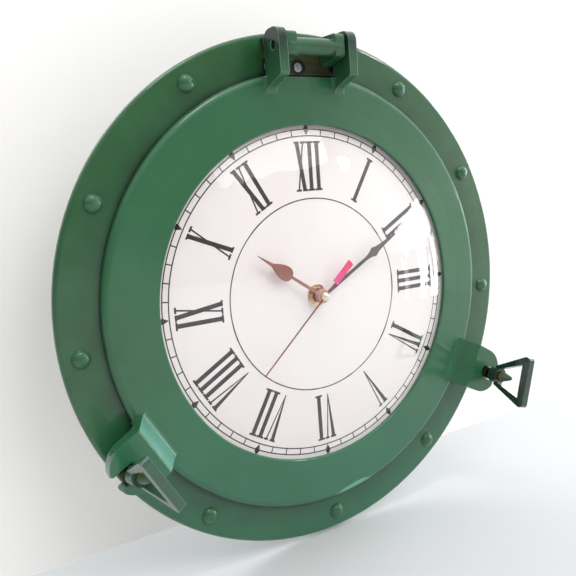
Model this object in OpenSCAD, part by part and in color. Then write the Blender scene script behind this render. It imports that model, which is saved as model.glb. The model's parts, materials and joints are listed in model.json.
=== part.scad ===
// Wall clock in the form of a ship's porthole: a cast flange with a hinged, glazed door, two bow-nut
// clamps, a Roman dial and a battery quartz movement. Millimetres, +Z up, the dial faces -Y.
// The origin is the centre of the hanger's round hole, on the plane of the wall.

/* [Flange] */
// Outside radius of the flange
flange_r = 152.4; // [150:0.2:156]
// Distance from the wall to the front of the flange
flange_front = 24; // [23:0.5:26]
// Thickness of the flange plate
flange_t = 5; // [4:0.5:6]
// Outside radius of the drum behind the flange
drum_r = 118; // [116:1:120]
// Clockwise angles of the dome rivets, from twelve o'clock
rivet_angles = [31, 62, 95.5, 144, 178, 215, 265, 297, 330];
// Radius of the circle that the rivets stand on
rivet_circle_r = 141.8; // [140:0.2:144]
// Radius of a rivet's dome
rivet_r = 5; // [4:0.1:5.5]

/* [Door] */
// Outside radius of the door ring
door_r = 130; // [128:0.5:131]
// Radius of the opening in front of the glass
opening_r = 100; // [98:0.5:102]
// Height of the door's front above the flange
door_h = 5; // [4.5:0.1:6]
// Rise of the domed glass above its edge
glass_rise = 16; // [15:0.2:17]

/* [Hinge] */
// Height of the hinge axis above the middle of the dial
hinge_up = 141; // [140:0.5:142]
// Distance of the hinge axis in front of the flange
hinge_out = 15; // [14.6:0.1:15]
// Radius of the hinge pin
hinge_pin_r = 2.5; // [2:0.1:3]
// Half the gap between the door's two ears
ear_in = 20; // [19.2:0.1:21]
// Thickness of an ear
ear_t = 5.4; // [4.8:0.1:7]

/* [Clamps] */
// Clockwise angles of the right and the left clamp
clamp_angles = [119.6, 241];
// How far each bolt leans towards the middle of the dial
clamp_leans = [0, 13];
// How far each bow nut is turned about its bolt
nut_turns = [13, 0];
// Distance from the clock's axis to the pin in a fork
fork_pin_at = 147; // [146:0.5:148]
// Height of a tongue's flat top above the flange
tongue_h = 17; // [16:0.5:18]
// Half the width of the slot in a fork
slot_half = 4.4; // [4.3:0.1:4.8]
// Radius of a bolt's threaded shank
bolt_r = 2.8; // [2.4:0.1:3]

/* [Dial and hands] */
// Radius of the dial
dial_r = 105; // [104:0.5:105]
// Clockwise angles of the hour, minute and second hands
hand_angles = [305, 60.5, 228];
// Length of the hour hand from the axis
hour_length = 50; // [44:1:56]
// Length of the minute hand from the axis
minute_length = 72; // [64:0.5:73]
// Length of the second hand from the axis
second_length = 59.5; // [50:0.5:62]

/* [Movement] */
// Width and height of the movement's case
case_w = 56; // [56:1:60]
// Radius of the AA cell
cell_r = 7.25; // [7:0.05:7.25]
// Length of the AA cell without its button
cell_length = 49; // [49:0.5:49.5]

/* [Hidden] */
$fn = 72;

PAINT = "seagreen";
STEEL = "silver";
BRASS = "goldenrod";

// Height of the hanger's round hole above the clock's axis
hook_up = 96;
hook_r = 5;
hook_slot_r = 2.3;
hook_slot_up = 10;
hanger_t = 1.6;

// Back of the case
flange_back = flange_front - flange_t;
drum_wall = 4;
cover_back = 1.7;
cover_t = 3;
cover_front = cover_back + cover_t;
cover_r = 113.6;
seat_r = 111;
boss_r = 4.5;
boss_at = 107.5;
boss_angles = [45, 135, 225, 315];
boss_hole_r = 1.3;
window_w = 64;

// Dial stack
dial_seat = flange_front - 2.1;
dial_plate_t = 2.9;
dial_back = dial_seat;
dial_mid = dial_back + dial_plate_t;
dial_front = dial_mid + 0.4;
dial_screw_at = 102.2;
dial_screw_angles = [15, 135, 255];

// Door stack, as distances from the wall
door_back = flange_front + 0.35;
glass_back = flange_front + 1.85;
glass_t = 2.2;
lip_back = flange_front + 4.1;
door_front = flange_front + door_h;
glass_r = 107.5;
glass_seat_r = 108.4;
retainer_in = 105.8;
retainer_out = 114.7;
retainer_back = flange_front + 0.5;
retainer_t = 1.25;
retainer_screw_at = 111.4;
retainer_screws_n = 6;

// Hinge
axis_out = flange_front + hinge_out;
ear_front = axis_out + 6.5;
ear_back = axis_out - 10;
ear_corner = 6;
ear_top = hinge_up + 9.3;
ear_out = ear_in + ear_t;
foot_fillet = 2.8;
ring_flat_up = 126.7;
bracket_half = 18.5;
knuckle_t = 5.9;
knuckle_front = flange_front + 19.5;
knuckle_low = hinge_up - 5.6;
knuckle_high = hinge_up + 7.4;
barrel_r = 4.7;
plate_t = 2;
plate_half = 24.4;
plate_low = 128.2;
plate_high = 151;
bracket_screws_x = [-21.5, -2, 21.5];
bracket_screws_up = 132.6;
screw_head_r = 2.6;
sink_r = 4.2;
sink = 0.6;

// Clamps
tongue_under = 9;
tongue_half = 14.8;
tongue_centre = 141;
tongue_tip = tongue_centre + tongue_half;
fork_pin_h = 12.5;
fork_pin_out = flange_front + fork_pin_h;
fork_pin_r = 1.75;
eye_r = 4.8;
eye_half = slot_half - 0.8;
bolt_tip = 24.5;
hub_low = 8.4;
tip_r = 8.1;
hub_r = 5.2;
hub_top = 15.2;
bow_low = 12;
bow_top = 38;
bow_t = 5;
bow_half = 16.7;
window_low = 14.6;
window_half = [4.6, 11];
window_top = 33;

// Movement, as distances from the wall
case_back = 6.6;
case_front = 21.4;
case_wall = 1;
case_floor = 1.2;
back_cover_t = 1.2;
bushing_r = 4;
bushing_bore_r = 2.8;
bushing_end = dial_front + 3.2;
cell_y = -19.7;
cell_mid = 12.85;

// Gear train: modules and centre distances
third_at = 11;
third_angle = 35;
module_a = 2 * third_at / (75 + 10);
module_b = 2 * third_at / (64 + 8);
link_at = 8.4;
link_angle = 120;
module_c = 2 * link_at / (50 + 10);
rotor_from_link = 7.84;
rotor_angle = 100;
module_d = 2 * rotor_from_link / (48 + 8);
motion_at = 7.2;
motion_angle = 150;
module_e = 2 * motion_at / (12 + 36);
module_f = 2 * motion_at / (10 + 40);
third_xy = third_at * [cos(third_angle), sin(third_angle)];
link_xy = link_at * [cos(link_angle), sin(link_angle)];
rotor_xy = link_xy + rotor_from_link * [cos(rotor_angle), sin(rotor_angle)];
motion_xy = motion_at * [cos(motion_angle), sin(motion_angle)];
knob_xy = 2 * motion_xy;

// Arbors and hand heights, as distances from the wall
second_arbor_r = 0.6;
minute_tube_r = 1.5;
hour_tube_r = 2.65;
fit = 0.06;
hour_at = dial_front + 5.6;
minute_at = hour_at + 1.8;
second_at = minute_at + 1.7;
hand_t = 0.45;

// Places a part drawn face-on: x right, y up, z out of the wall, from the clock's axis at the wall
module face_on() {
    translate([0, 0, -hook_up])
        rotate([90, 0, 0])
            children();
}

// Turns a part so that its x runs out from the axis at a clockwise angle from twelve
module at_angle(clockwise) {
    rotate([0, 0, 90 - clockwise])
        children();
}

// A cylinder from one distance to another
module disc(r, from, to) {
    translate([0, 0, from])
        cylinder(r = r, h = to - from);
}

// A flat washer or tube
module tube(outer, inner, from, to) {
    difference() {
        disc(outer, from, to);
        disc(inner, from - 1, to + 1);
    }
}

// A rod along x
module rod_x(r, from, to) {
    translate([from, 0, 0])
        rotate([0, 90, 0])
            cylinder(r = r, h = to - from);
}

// A rod along y
module rod_y(r, from, to) {
    translate([0, to, 0])
        rotate([90, 0, 0])
            cylinder(r = r, h = to - from);
}

// Points on an arc
function arc(cx, cy, r, from, to, steps) =
    [for (i = [0:steps]) [cx + r * cos(from + (to - from) * i / steps),
                          cy + r * sin(from + (to - from) * i / steps)]];

// A small dome on a flat base, with a shank below it
module dome(r, rise, shank_r, shank) {
    ball_r = (r * r + rise * rise) / (2 * rise);
    union() {
        intersection() {
            translate([0, 0, rise - ball_r])
                sphere(r = ball_r);
            disc(r + 1, 0, rise + 1);
        }
        disc(shank_r, -shank, 0.5);
    }
}

// A countersunk screw with a cross recess, its head's face at z = 0 and its shank below
module flat_screw(head_r, shank_r, length) {
    head_t = head_r - shank_r;
    difference() {
        union() {
            translate([0, 0, -head_t])
                cylinder(r1 = shank_r, r2 = head_r, h = head_t);
            disc(shank_r, -length, -head_t);
        }
        for (turn = [0, 90])
            rotate([0, 0, turn + 20])
                translate([-head_r * 0.6, -head_r * 0.11, -head_t * 0.6])
                    cube([head_r * 1.2, head_r * 0.22, head_t]);
    }
}

// The hole that a countersunk screw sits in
module flat_screw_hole(head_r, shank_r, length) {
    head_t = head_r - shank_r;
    translate([0, 0, -head_t - 0.02])
        cylinder(r1 = shank_r, r2 = head_r + 0.04, h = head_t + 0.04);
    disc(shank_r + 0.04, -length - 0.1, 0);
    disc(head_r + 0.04, 0, 2);
}

// A thin gear: straight-sided teeth with one tooth centred on the angle given
module gear(teeth, m, from, to, tooth_angle) {
    pitch = 360 / teeth;
    tip_r = m * (teeth / 2 + 0.8);
    root_r = m * (teeth / 2 - 1.1);
    outline = [for (i = [0:teeth - 1], side = [[-0.2, root_r], [-0.11, tip_r], [0.11, tip_r], [0.2, root_r]])
        let (turn = tooth_angle + (i + side[0]) * pitch)
            [side[1] * cos(turn), side[1] * sin(turn)]];
    translate([0, 0, from])
        linear_extrude(height = to - from)
            polygon(outline);
}

// Angle that puts a gap of the gear, not a tooth, on the line to its neighbour
function gap_at(angle, teeth) = angle + 180 / teeth;

// ---------- flange and case ----------

module flange_profile() {
    edge = 2.4;
    polygon(concat(
        [[98, flange_back], [98, dial_seat], [dial_r + 0.3, dial_seat], [dial_r + 0.3, flange_front]],
        arc(flange_r - edge, flange_front - edge, edge, 90, 0, 6),
        arc(flange_r - 1, flange_back + 1, 1, 0, -90, 3)));
}

module flange_ring() {
    color(PAINT) face_on() difference() {
        rotate_extrude($fn = 180)
            flange_profile();
        for (a = rivet_angles)
            at_angle(a)
                translate([rivet_circle_r, 0, 0])
                    disc(2.02, flange_back - 1, flange_front + 1);
        for (a = dial_screw_angles)
            at_angle(a)
                translate([dial_screw_at, 0, 0])
                    disc(1.04, flange_back - 1, dial_seat + 1);
        for (x = bracket_screws_x)
            translate([x, bracket_screws_up, 0])
                disc(1.54, flange_back - 1, flange_front + 1);
    }
}

// The drum behind the flange, with a seat and four bosses for the rear cover
module back_drum() {
    color(PAINT) face_on() difference() {
        union() {
            rotate_extrude($fn = 180)
                polygon([[drum_r, flange_back], [drum_r, 0.8], [drum_r - 0.8, 0], [drum_r - drum_wall, 0],
                         [drum_r - drum_wall, cover_front], [seat_r, cover_front],
                         [seat_r, flange_back]]);
            for (a = boss_angles)
                at_angle(a)
                    translate([boss_at, 0, 0])
                        disc(boss_r, cover_front, flange_back - 2);
        }
        for (a = boss_angles)
            at_angle(a)
                translate([boss_at, 0, 0])
                    disc(boss_hole_r, cover_front - 1, cover_front + 8);
    }
}

module flange_rivets() {
    color(PAINT) face_on()
        for (a = rivet_angles)
            at_angle(a)
                translate([rivet_circle_r, 0, flange_front])
                    dome(rivet_r, 3.5, 2, flange_t);
}

module rear_cover() {
    color("saddlebrown") face_on() difference() {
        disc(cover_r, cover_back, cover_front);
        translate([-window_w / 2, -window_w / 2, 0])
            cube([window_w, window_w, 10]);
        translate([0, hook_up, 0])
            disc(7, 0, 10);
        translate([-4, hook_up, 0])
            cube([8, hook_slot_up + 4, 10]);
        for (a = boss_angles)
            at_angle(a)
                translate([boss_at, 0, cover_back])
                    rotate([180, 0, 0])
                        flat_screw_hole(2.5, boss_hole_r, 12);
        for (side = [-1, 1])
            translate([side * 15, hook_up, 0])
                disc(1.04, 0, 10);
    }
}

module rear_cover_screws() {
    color(STEEL) face_on()
        for (a = boss_angles)
            at_angle(a)
                translate([boss_at, 0, cover_back])
                    rotate([180, 0, 0])
                        flat_screw(2.5, boss_hole_r - 0.04, 9);
}

module hanger_plate() {
    color(STEEL) face_on() difference() {
        translate([-21, hook_up - 9, 0])
            cube([42, 25, hanger_t]);
        translate([0, hook_up, 0])
            disc(hook_r, -1, 3);
        translate([-hook_slot_r, hook_up, -1])
            cube([2 * hook_slot_r, hook_slot_up, 4]);
        translate([0, hook_up + hook_slot_up, 0])
            disc(hook_slot_r, -1, 3);
        for (side = [-1, 1])
            translate([side * 15, hook_up, 0])
                rotate([180, 0, 0])
                    flat_screw_hole(2.1, 1, 5);
    }
}

module hanger_screws() {
    color(STEEL) face_on()
        for (side = [-1, 1])
            translate([side * 15, hook_up, 0.05])
                rotate([180, 0, 0])
                    flat_screw(2.05, 1, 4.4);
}

// ---------- dial ----------

module dial_plate() {
    color("tan") face_on() difference() {
        disc(dial_r, dial_back, dial_mid);
        disc(bushing_r + 0.1, dial_back - 1, dial_mid + 1);
        for (a = dial_screw_angles)
            at_angle(a)
                translate([dial_screw_at, 0, dial_mid])
                    flat_screw_hole(1.9, 1, 5);
    }
}

module dial_face() {
    color("white") face_on() difference() {
        disc(dial_r, dial_mid, dial_front);
        disc(bushing_r + 0.1, dial_mid - 1, dial_front + 1);
    }
}

module dial_screws() {
    color(STEEL) face_on()
        for (a = dial_screw_angles)
            at_angle(a)
                translate([dial_screw_at, 0, dial_mid])
                    flat_screw(1.9, 1, 5);
}

// ---------- door ----------

module door_profile() {
    edge = 4;
    polygon(concat(
        [[opening_r, lip_back], [opening_r, door_front + 0.3]],
        arc(opening_r + 0.8, door_front + 0.2, 0.8, 180, 90, 4),
        [[112, door_front + 0.4]],
        arc(door_r - edge, door_front - edge, edge, 90, 0, 8),
        [[door_r, door_back], [retainer_out + 0.3, door_back],
         [retainer_out + 0.3, glass_back - 0.1], [glass_seat_r, glass_back - 0.1],
         [glass_seat_r, lip_back]]));
}

// Side view of a hinge ear: x is up the dial, y is out of the wall
module ear_side() {
    corner_at = ear_top - ear_corner;
    polygon(concat(
        [[115.2, door_back + 1.5]],
        arc(115.2, door_front + 6.4, 6.5, -90, -22, 7),
        arc(126.8, ear_front - 2.2, 2.2, 158, 90, 4),
        arc(corner_at, ear_front - ear_corner, ear_corner, 90, 0, 8),
        arc(corner_at, ear_back + ear_corner, ear_corner, 0, -90, 8),
        [[127.5, ear_back], [ring_flat_up - 0.1, door_back + 1.5]]));
}

// The same seen from above, x across and y out, with a hollow fillet each side of the foot
module ear_foot_plan() {
    side = ear_t / 2 + foot_fillet;
    centre = door_front - 0.2 + foot_fillet;
    polygon(concat(
        [[-side, door_back + 1.5]],
        arc(-side, centre, foot_fillet, -90, 0, 6),
        arc(side, centre, foot_fillet, 180, 270, 6),
        [[side, door_back + 1.5]]));
}

// One hinge ear and its foot on the ring
module ear(side) {
    translate([side > 0 ? ear_in : -ear_out, 0, 0])
        rotate([90, 0, 90])
            linear_extrude(height = ear_t)
                ear_side();
    intersection() {
        translate([side > 0 ? ear_in - 5 : -ear_out - 5, 0, 0])
            rotate([90, 0, 90])
                linear_extrude(height = ear_t + 10)
                    ear_side();
        translate([side * (ear_in + ear_t / 2), ring_flat_up - 0.3, 0])
            rotate([90, 0, 0])
                linear_extrude(height = 14)
                    ear_foot_plan();
    }
}

// Side view of a clamp tongue: x runs out from the axis, y is out of the wall.
// A hollow fillet leads up to its flat top, and its end is rounded about the fork's pin.
module tongue_side() {
    fillet = 6;
    slope = 57;
    foot = 119.2;
    top = flange_front + tongue_h;
    rise = tongue_h - door_h - fillet * (1 - cos(slope));
    shoulder = foot + fillet * sin(slope) + rise / tan(slope);
    above = top - fork_pin_out;
    below = fork_pin_out - flange_front - tongue_under;
    polygon(concat(
        [[117.5, door_back + 1.5]],
        arc(foot, door_front + fillet, fillet, -90, slope - 90, 6),
        [[shoulder - 0.5, top - 0.6], [shoulder + 0.4, top]],
        arc(fork_pin_at, fork_pin_out, tip_r, asin(above / tip_r), -asin(below / tip_r), 14),
        [[133, flange_front + tongue_under], [130, flange_front + tongue_under - 2.5],
         [130, door_back + 1.5]]));
}

// Plan of a clamp tongue, with a round end
module tongue_plan() {
    union() {
        polygon([[117, -15.6], [123, -15.4], [131, -15], [tongue_centre, -tongue_half],
                 [tongue_centre, tongue_half], [131, 15], [123, 15.6], [117, 16]]);
        translate([tongue_centre, 0])
            circle(r = tongue_half);
    }
}

module tongue() {
    intersection() {
        translate([0, 25, 0])
            rotate([90, 0, 0])
                linear_extrude(height = 50)
                    tongue_side();
        linear_extrude(height = 60)
            tongue_plan();
    }
}

module fork_slot() {
    translate([fork_pin_at - 2.9, 0, flange_front + 1])
        cylinder(r = slot_half, h = 20);
    translate([fork_pin_at - 2.9, -slot_half, flange_front + 1])
        cube([20, 2 * slot_half, 20]);
}

module door_ring() {
    color(PAINT) face_on() difference() {
        union() {
            difference() {
                rotate_extrude($fn = 180)
                    door_profile();
                translate([-40, ring_flat_up, 0])
                    cube([80, 20, 60]);
            }
            for (side = [-1, 1])
                ear(side);
            for (a = clamp_angles)
                at_angle(a)
                    tongue();
        }
        translate([0, hinge_up, axis_out])
            rod_x(hinge_pin_r + 0.02, -40, 40);
        for (a = clamp_angles)
            at_angle(a) {
                fork_slot();
                translate([fork_pin_at, 0, fork_pin_out])
                    rod_y(fork_pin_r + 0.02, -30, 30);
            }
        for (i = [0:retainer_screws_n - 1])
            at_angle(30 + i * 360 / retainer_screws_n)
                translate([retainer_screw_at, 0, 0])
                    disc(0.84, glass_back - 1, glass_back + 1.8);
    }
}

module domed_glass() {
    glass_edge_r = opening_r - 0.6;
    ball_r = (glass_edge_r * glass_edge_r + glass_rise * glass_rise) / (2 * glass_rise);
    base = glass_back + glass_t;
    centre = base + glass_rise - ball_r;
    sweep = asin(glass_edge_r / ball_r);
    inner_r = ball_r - glass_t;
    inner_sweep = acos((glass_back - centre) / inner_r);
    color("lightblue", 0.35) face_on()
        rotate_extrude($fn = 180)
            polygon(concat(
                arc(0, centre, ball_r, 90, 90 - sweep, 24),
                [[glass_r, base], [glass_r, glass_back]],
                arc(0, centre, inner_r, 90 - inner_sweep, 90, 24)));
}

module glass_gasket() {
    color("dimgray") face_on()
        tube(glass_seat_r - 0.05, glass_r + 0.02, glass_back, glass_back + glass_t);
}

module glass_retainer() {
    color("darkseagreen") face_on() difference() {
        tube(retainer_out, retainer_in, retainer_back, retainer_back + retainer_t);
        for (i = [0:retainer_screws_n - 1])
            at_angle(30 + i * 360 / retainer_screws_n)
                translate([retainer_screw_at, 0, retainer_back])
                    rotate([180, 0, 0])
                        flat_screw_hole(1.9, 0.8, 4);
    }
}

module retainer_screws() {
    color(STEEL) face_on()
        for (i = [0:retainer_screws_n - 1])
            at_angle(30 + i * 360 / retainer_screws_n)
                translate([retainer_screw_at, 0, retainer_back])
                    rotate([180, 0, 0])
                        flat_screw(1.9, 0.8, 3);
}

// ---------- hinge ----------

// Side view of a knuckle: x is up the dial, y is out of the wall
module knuckle_side() {
    corner = 2.5;
    top = knuckle_front - corner;
    foot = flange_front + plate_t - 0.5;
    polygon(concat(
        [[knuckle_low - 3, foot], [knuckle_low - 2.3, foot + 4]],
        arc(knuckle_low + corner, top, corner, 180, 90, 6),
        arc(knuckle_high - corner, top, corner, 90, 0, 6),
        [[knuckle_high + 0.6, foot]]));
}

module hinge_bracket() {
    color(PAINT) face_on() difference() {
        union() {
            intersection() {
                translate([-plate_half, plate_low, flange_front])
                    cube([2 * plate_half, plate_high - plate_low, plate_t]);
                disc(149.6, flange_front - 1, flange_front + 5);
            }
            for (low = [-bracket_half, bracket_half - knuckle_t])
                translate([low, 0, 0])
                    rotate([90, 0, 90])
                        linear_extrude(height = knuckle_t)
                            knuckle_side();
            translate([0, hinge_up, axis_out])
                rod_x(barrel_r, -bracket_half + 1, bracket_half - 1);
        }
        translate([0, hinge_up, axis_out])
            rod_x(hinge_pin_r + fit, -40, 40);
        for (x = bracket_screws_x)
            translate([x, bracket_screws_up, flange_front + plate_t - sink]) {
                flat_screw_hole(screw_head_r, 1.5, 8);
                disc(sink_r, 0, 2);
            }
    }
}

module hinge_screws() {
    color(STEEL) face_on()
        for (x = bracket_screws_x)
            translate([x, bracket_screws_up, flange_front + plate_t - sink])
                flat_screw(screw_head_r, 1.5, 6.4);
}

// A plain pin driven through the ears, its ends just inside their outer faces
module hinge_pin() {
    end = ear_out - 1.6;
    color(STEEL) face_on()
        translate([0, hinge_up, axis_out])
            union() {
                rod_x(hinge_pin_r, -end + 0.6, end - 0.6);
                rod_x(hinge_pin_r - 0.5, -end, end);
            }
}

// ---------- clamps ----------

// Places a clamp part: x out from the axis, y along the rim, z along the bolt, from the fork's pin
module clamp_place(i) {
    face_on()
        at_angle(clamp_angles[i])
            translate([fork_pin_at, 0, fork_pin_out])
                rotate([0, -clamp_leans[i], 0])
                    children();
}

module clamp_pin(i) {
    color(STEEL) clamp_place(i)
        rod_y(fork_pin_r, -13, 13);
}

module swing_bolt(i) {
    color(BRASS) clamp_place(i)
        difference() {
            union() {
                rod_y(eye_r, -eye_half, eye_half);
                disc(bolt_r, 0, bolt_tip - 5);
                translate([0, 0, bolt_tip - 5])
                    cylinder(r1 = bolt_r, r2 = 1.4, h = 4);
                translate([0, 0, bolt_tip - 1.5])
                    sphere(r = 1.5);
            }
            rod_y(fork_pin_r + fit, -10, 10);
        }
}

// The bow's outline across the bolt, with round outer corners
module bow_outline() {
    corner = 2.6;
    hull() {
        translate([-6.4, bow_low])
            square([12.8, 0.1]);
        for (side = [-1, 1])
            translate([side * (bow_half - corner), bow_top - corner])
                circle(r = corner, $fn = 32);
    }
}

module bow_nut(i) {
    color("darkgreen") clamp_place(i)
        rotate([0, 0, nut_turns[i]])
            difference() {
                union() {
                    disc(hub_r, hub_low, hub_top);
                    translate([bow_t / 2, 0, 0])
                        rotate([90, 0, -90])
                            linear_extrude(height = bow_t)
                                difference() {
                                    bow_outline();
                                    polygon([[-window_half[0], window_low],
                                             [window_half[0], window_low],
                                             [window_half[1], window_top],
                                             [-window_half[1], window_top]]);
                                }
                }
                disc(bolt_r + fit, hub_low - 1, hub_top + 1);
            }
}

module clamp_pin_right() { clamp_pin(0); }
module clamp_pin_left() { clamp_pin(1); }
module swing_bolt_right() { swing_bolt(0); }
module swing_bolt_left() { swing_bolt(1); }
module bow_nut_right() { bow_nut(0); }
module bow_nut_left() { bow_nut(1); }

// ---------- movement ----------

module movement_case() {
    inner = case_w - 2 * case_wall;
    color("black") face_on() difference() {
        union() {
            translate([-case_w / 2, -case_w / 2, case_back])
                cube([case_w, case_w, case_front - case_back]);
            disc(bushing_r, case_front - 1, bushing_end);
        }
        translate([-inner / 2, -inner / 2, case_back - 1])
            cube([inner, inner, case_front - case_back + 1 - case_floor]);
        disc(bushing_bore_r, case_front - 3, bushing_end + 1);
    }
}

module movement_cover() {
    color("black") face_on() difference() {
        translate([-case_w / 2, -case_w / 2, case_back - back_cover_t])
            cube([case_w, case_w, back_cover_t]);
        translate([-25.6, cell_y - cell_r - 0.2, case_back - 3])
            cube([51.2, 2 * cell_r + 0.4, 6]);
        translate([knob_xy[0], knob_xy[1], 0])
            disc(1.1, 0, 20);
        translate([0, 0, case_back - 0.7])
            cylinder(r = second_arbor_r + fit, h = 5);
    }
}

module movement_gasket() {
    color("dimgray") face_on()
        tube(10, bushing_r + 0.1, case_front, dial_back);
}

module fixing_nut() {
    color(BRASS) face_on() difference() {
        union() {
            disc(6.6, dial_front, dial_front + 0.5);
            translate([0, 0, dial_front + 0.5])
                cylinder(r = 5.6, h = 2, $fn = 6);
        }
        disc(bushing_r + 0.02, dial_front - 1, dial_front + 4);
    }
}

module battery_cell() {
    color("gray") face_on()
        translate([0, cell_y, cell_mid])
            union() {
                rod_x(cell_r, -cell_length / 2 - 0.4, cell_length / 2 - 0.4);
                rod_x(2.7, cell_length / 2 - 1, cell_length / 2 + 0.9);
            }
}

module contact_positive() {
    color(STEEL) face_on()
        translate([cell_length / 2 + 0.95, cell_y - 5, cell_mid - 5])
            cube([0.4, 10, 10]);
}

module contact_negative() {
    color(STEEL) face_on()
        translate([-cell_length / 2 - 0.45, cell_y, cell_mid])
            union() {
                translate([-1.6, -5, -5])
                    cube([0.4, 10, 10]);
                rod_x(3, -1.3, -0.9);
                rod_x(2, -0.9, 0);
            }
}

module stator() {
    color("lightgray") face_on() difference() {
        union() {
            translate([-15, 11, 10.1])
                cube([20, 9, 0.8]);
            for (x = [-15, 8])
                translate([x, 11, 10.1])
                    cube([5, 15.5, 0.8]);
            translate([4, 11, 10.1])
                cube([5, 6, 0.8]);
        }
        translate([rotor_xy[0], rotor_xy[1], 0])
            disc(3.4, 0, 20);
    }
}

module drive_coil() {
    color("darkorange") face_on()
        translate([-1, 23, 14.6])
            union() {
                rod_x(2.9, -9, 9);
                for (x = [-10.5, 9])
                    rod_x(3.5, x, x + 1.5);
            }
}

module circuit_board() {
    color("darkgreen") face_on()
        translate([14, -9, 18.2])
            union() {
                cube([12.5, 34, 0.8]);
                translate([4, 12, -1.4])
                    cube([6, 6, 1.5]);
                translate([5, 24, -2.4])
                    cube([2.2, 6, 2.5]);
            }
}

// Rotor: a magnet with a small pinion
module rotor() {
    color("dimgray") face_on()
        translate([rotor_xy[0], rotor_xy[1], 0])
            union() {
                disc(0.4, case_back + 0.03, 13.2);
                disc(2.8, 9.2, 12);
                gear(8, module_d, 7, 9.3, gap_at(rotor_angle + 180, 8));
            }
}

// Intermediate wheel between the rotor and the second wheel
module intermediate_wheel() {
    color("ivory") face_on()
        translate([link_xy[0], link_xy[1], 0])
            union() {
                disc(0.4, case_back + 0.03, 11);
                gear(48, module_d, 7.3, 8.1, rotor_angle);
                gear(10, module_c, 8.1, 10.3, gap_at(link_angle + 180, 10));
            }
}

module second_wheel() {
    color("ivory") face_on()
        union() {
            disc(second_arbor_r, case_back - 0.05, second_at);
            gear(50, module_c, 9.1, 9.9, link_angle);
            gear(10, module_a, 10.9, 12.9, third_angle);
        }
}

module third_wheel() {
    color("ivory") face_on()
        translate([third_xy[0], third_xy[1], 0])
            union() {
                disc(0.4, case_back + 0.03, 17);
                gear(75, module_a, 11.5, 12.3, gap_at(third_angle + 180, 75));
                gear(8, module_b, 13.9, 15.9, third_angle + 180);
            }
}

// Centre wheel: it carries the minute shaft round through a slipping fit
module centre_wheel() {
    color("ivory") face_on() difference() {
        gear(64, module_b, 14.5, 15.3, gap_at(third_angle, 64));
        disc(minute_tube_r + fit, 14, 16);
    }
}

module minute_shaft() {
    color(BRASS) face_on() difference() {
        union() {
            disc(minute_tube_r, 13.3, minute_at);
            disc(2.6, 13.3, 14.4);
            gear(12, module_e, 15.9, 17.3, motion_angle);
        }
        disc(second_arbor_r + fit, 12, minute_at + 1);
    }
}

module minute_wheel() {
    color("ivory") face_on()
        translate([motion_xy[0], motion_xy[1], 0])
            union() {
                disc(0.8, 15.6, case_front - case_floor - 0.1);
                gear(36, module_e, 16.2, 17, gap_at(motion_angle + 180, 36));
                gear(10, module_f, 17, 19, motion_angle + 180);
            }
}

module hour_wheel() {
    color(BRASS) face_on() difference() {
        union() {
            disc(hour_tube_r, 18, hour_at);
            gear(40, module_f, 18, 18.8, gap_at(motion_angle, 40));
        }
        disc(minute_tube_r + fit, 17, hour_at + 1);
    }
}

module set_knob() {
    color("dimgray") face_on()
        translate([knob_xy[0], knob_xy[1], 0])
            union() {
                gear(24, 0.36, 2.6, 5, 0);
                disc(1, 4.9, case_front - case_floor - 0.1);
                gear(12, module_e, 16.1, 17.1, motion_angle + 180);
            }
}

// ---------- hands ----------

// A hand's outline along x from pairs of distance and half-width
module hand_shape(half_widths) {
    count = len(half_widths);
    polygon(concat(
        half_widths,
        [for (i = [count - 1:-1:0]) [half_widths[i][0], -half_widths[i][1]]]));
}

module hand_plate(i, at) {
    face_on()
        at_angle(hand_angles[i])
            translate([0, 0, at])
                linear_extrude(height = hand_t)
                    children();
}

// Half-width of a spade's bulb at a fraction of its length
function bulb(half, part) = half * pow(sin(180 * pow(part, 0.62)), 0.85);

module hour_hand() {
    bulb_from = 24;
    bulb_to = 39;
    color("black") difference() {
        union() {
            face_on()
                disc(4.4, hour_at - hand_t, hour_at);
            hand_plate(0, hour_at - hand_t)
                hand_shape(concat(
                    [[3, 1.1], [bulb_from, 0.8]],
                    [for (p = [0.06:0.08:0.94]) [bulb_from + p * (bulb_to - bulb_from),
                                                 0.8 + bulb(3.6, p)]],
                    [[bulb_to, 1], [hour_length, 0.15]]));
        }
        face_on()
            disc(hour_tube_r + 0.02, hour_at - 3, hour_at + 3);
    }
}

module minute_hand() {
    bulge_at = 45;
    color("black") difference() {
        union() {
            face_on()
                disc(4, minute_at - hand_t, minute_at);
            hand_plate(1, minute_at - hand_t)
                hand_shape([[2.4, 1.1], [bulge_at - 7, 1], [bulge_at - 3, 1.75], [bulge_at, 3.2],
                            [bulge_at + 3, 1.95], [bulge_at + 8, 1.3], [minute_length, 0.2]]);
        }
        face_on()
            disc(minute_tube_r + 0.02, minute_at - 3, minute_at + 3);
    }
}

module second_hand() {
    color("crimson") difference() {
        union() {
            face_on()
                disc(1.9, second_at - hand_t, second_at);
            hand_plate(2, second_at - hand_t)
                hand_shape([[-27, 2.2], [-10.6, 2.1], [-10.6, 0.45], [second_length, 0.3]]);
        }
        face_on()
            disc(second_arbor_r + 0.02, second_at - 3, second_at + 3);
    }
}

module hand_cap() {
    color(BRASS) face_on()
        translate([0, 0, second_at + hand_t - 0.3])
            intersection() {
                translate([0, 0, -1.2])
                    sphere(r = 2.9);
                disc(4, 0, 4);
            }
}

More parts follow.
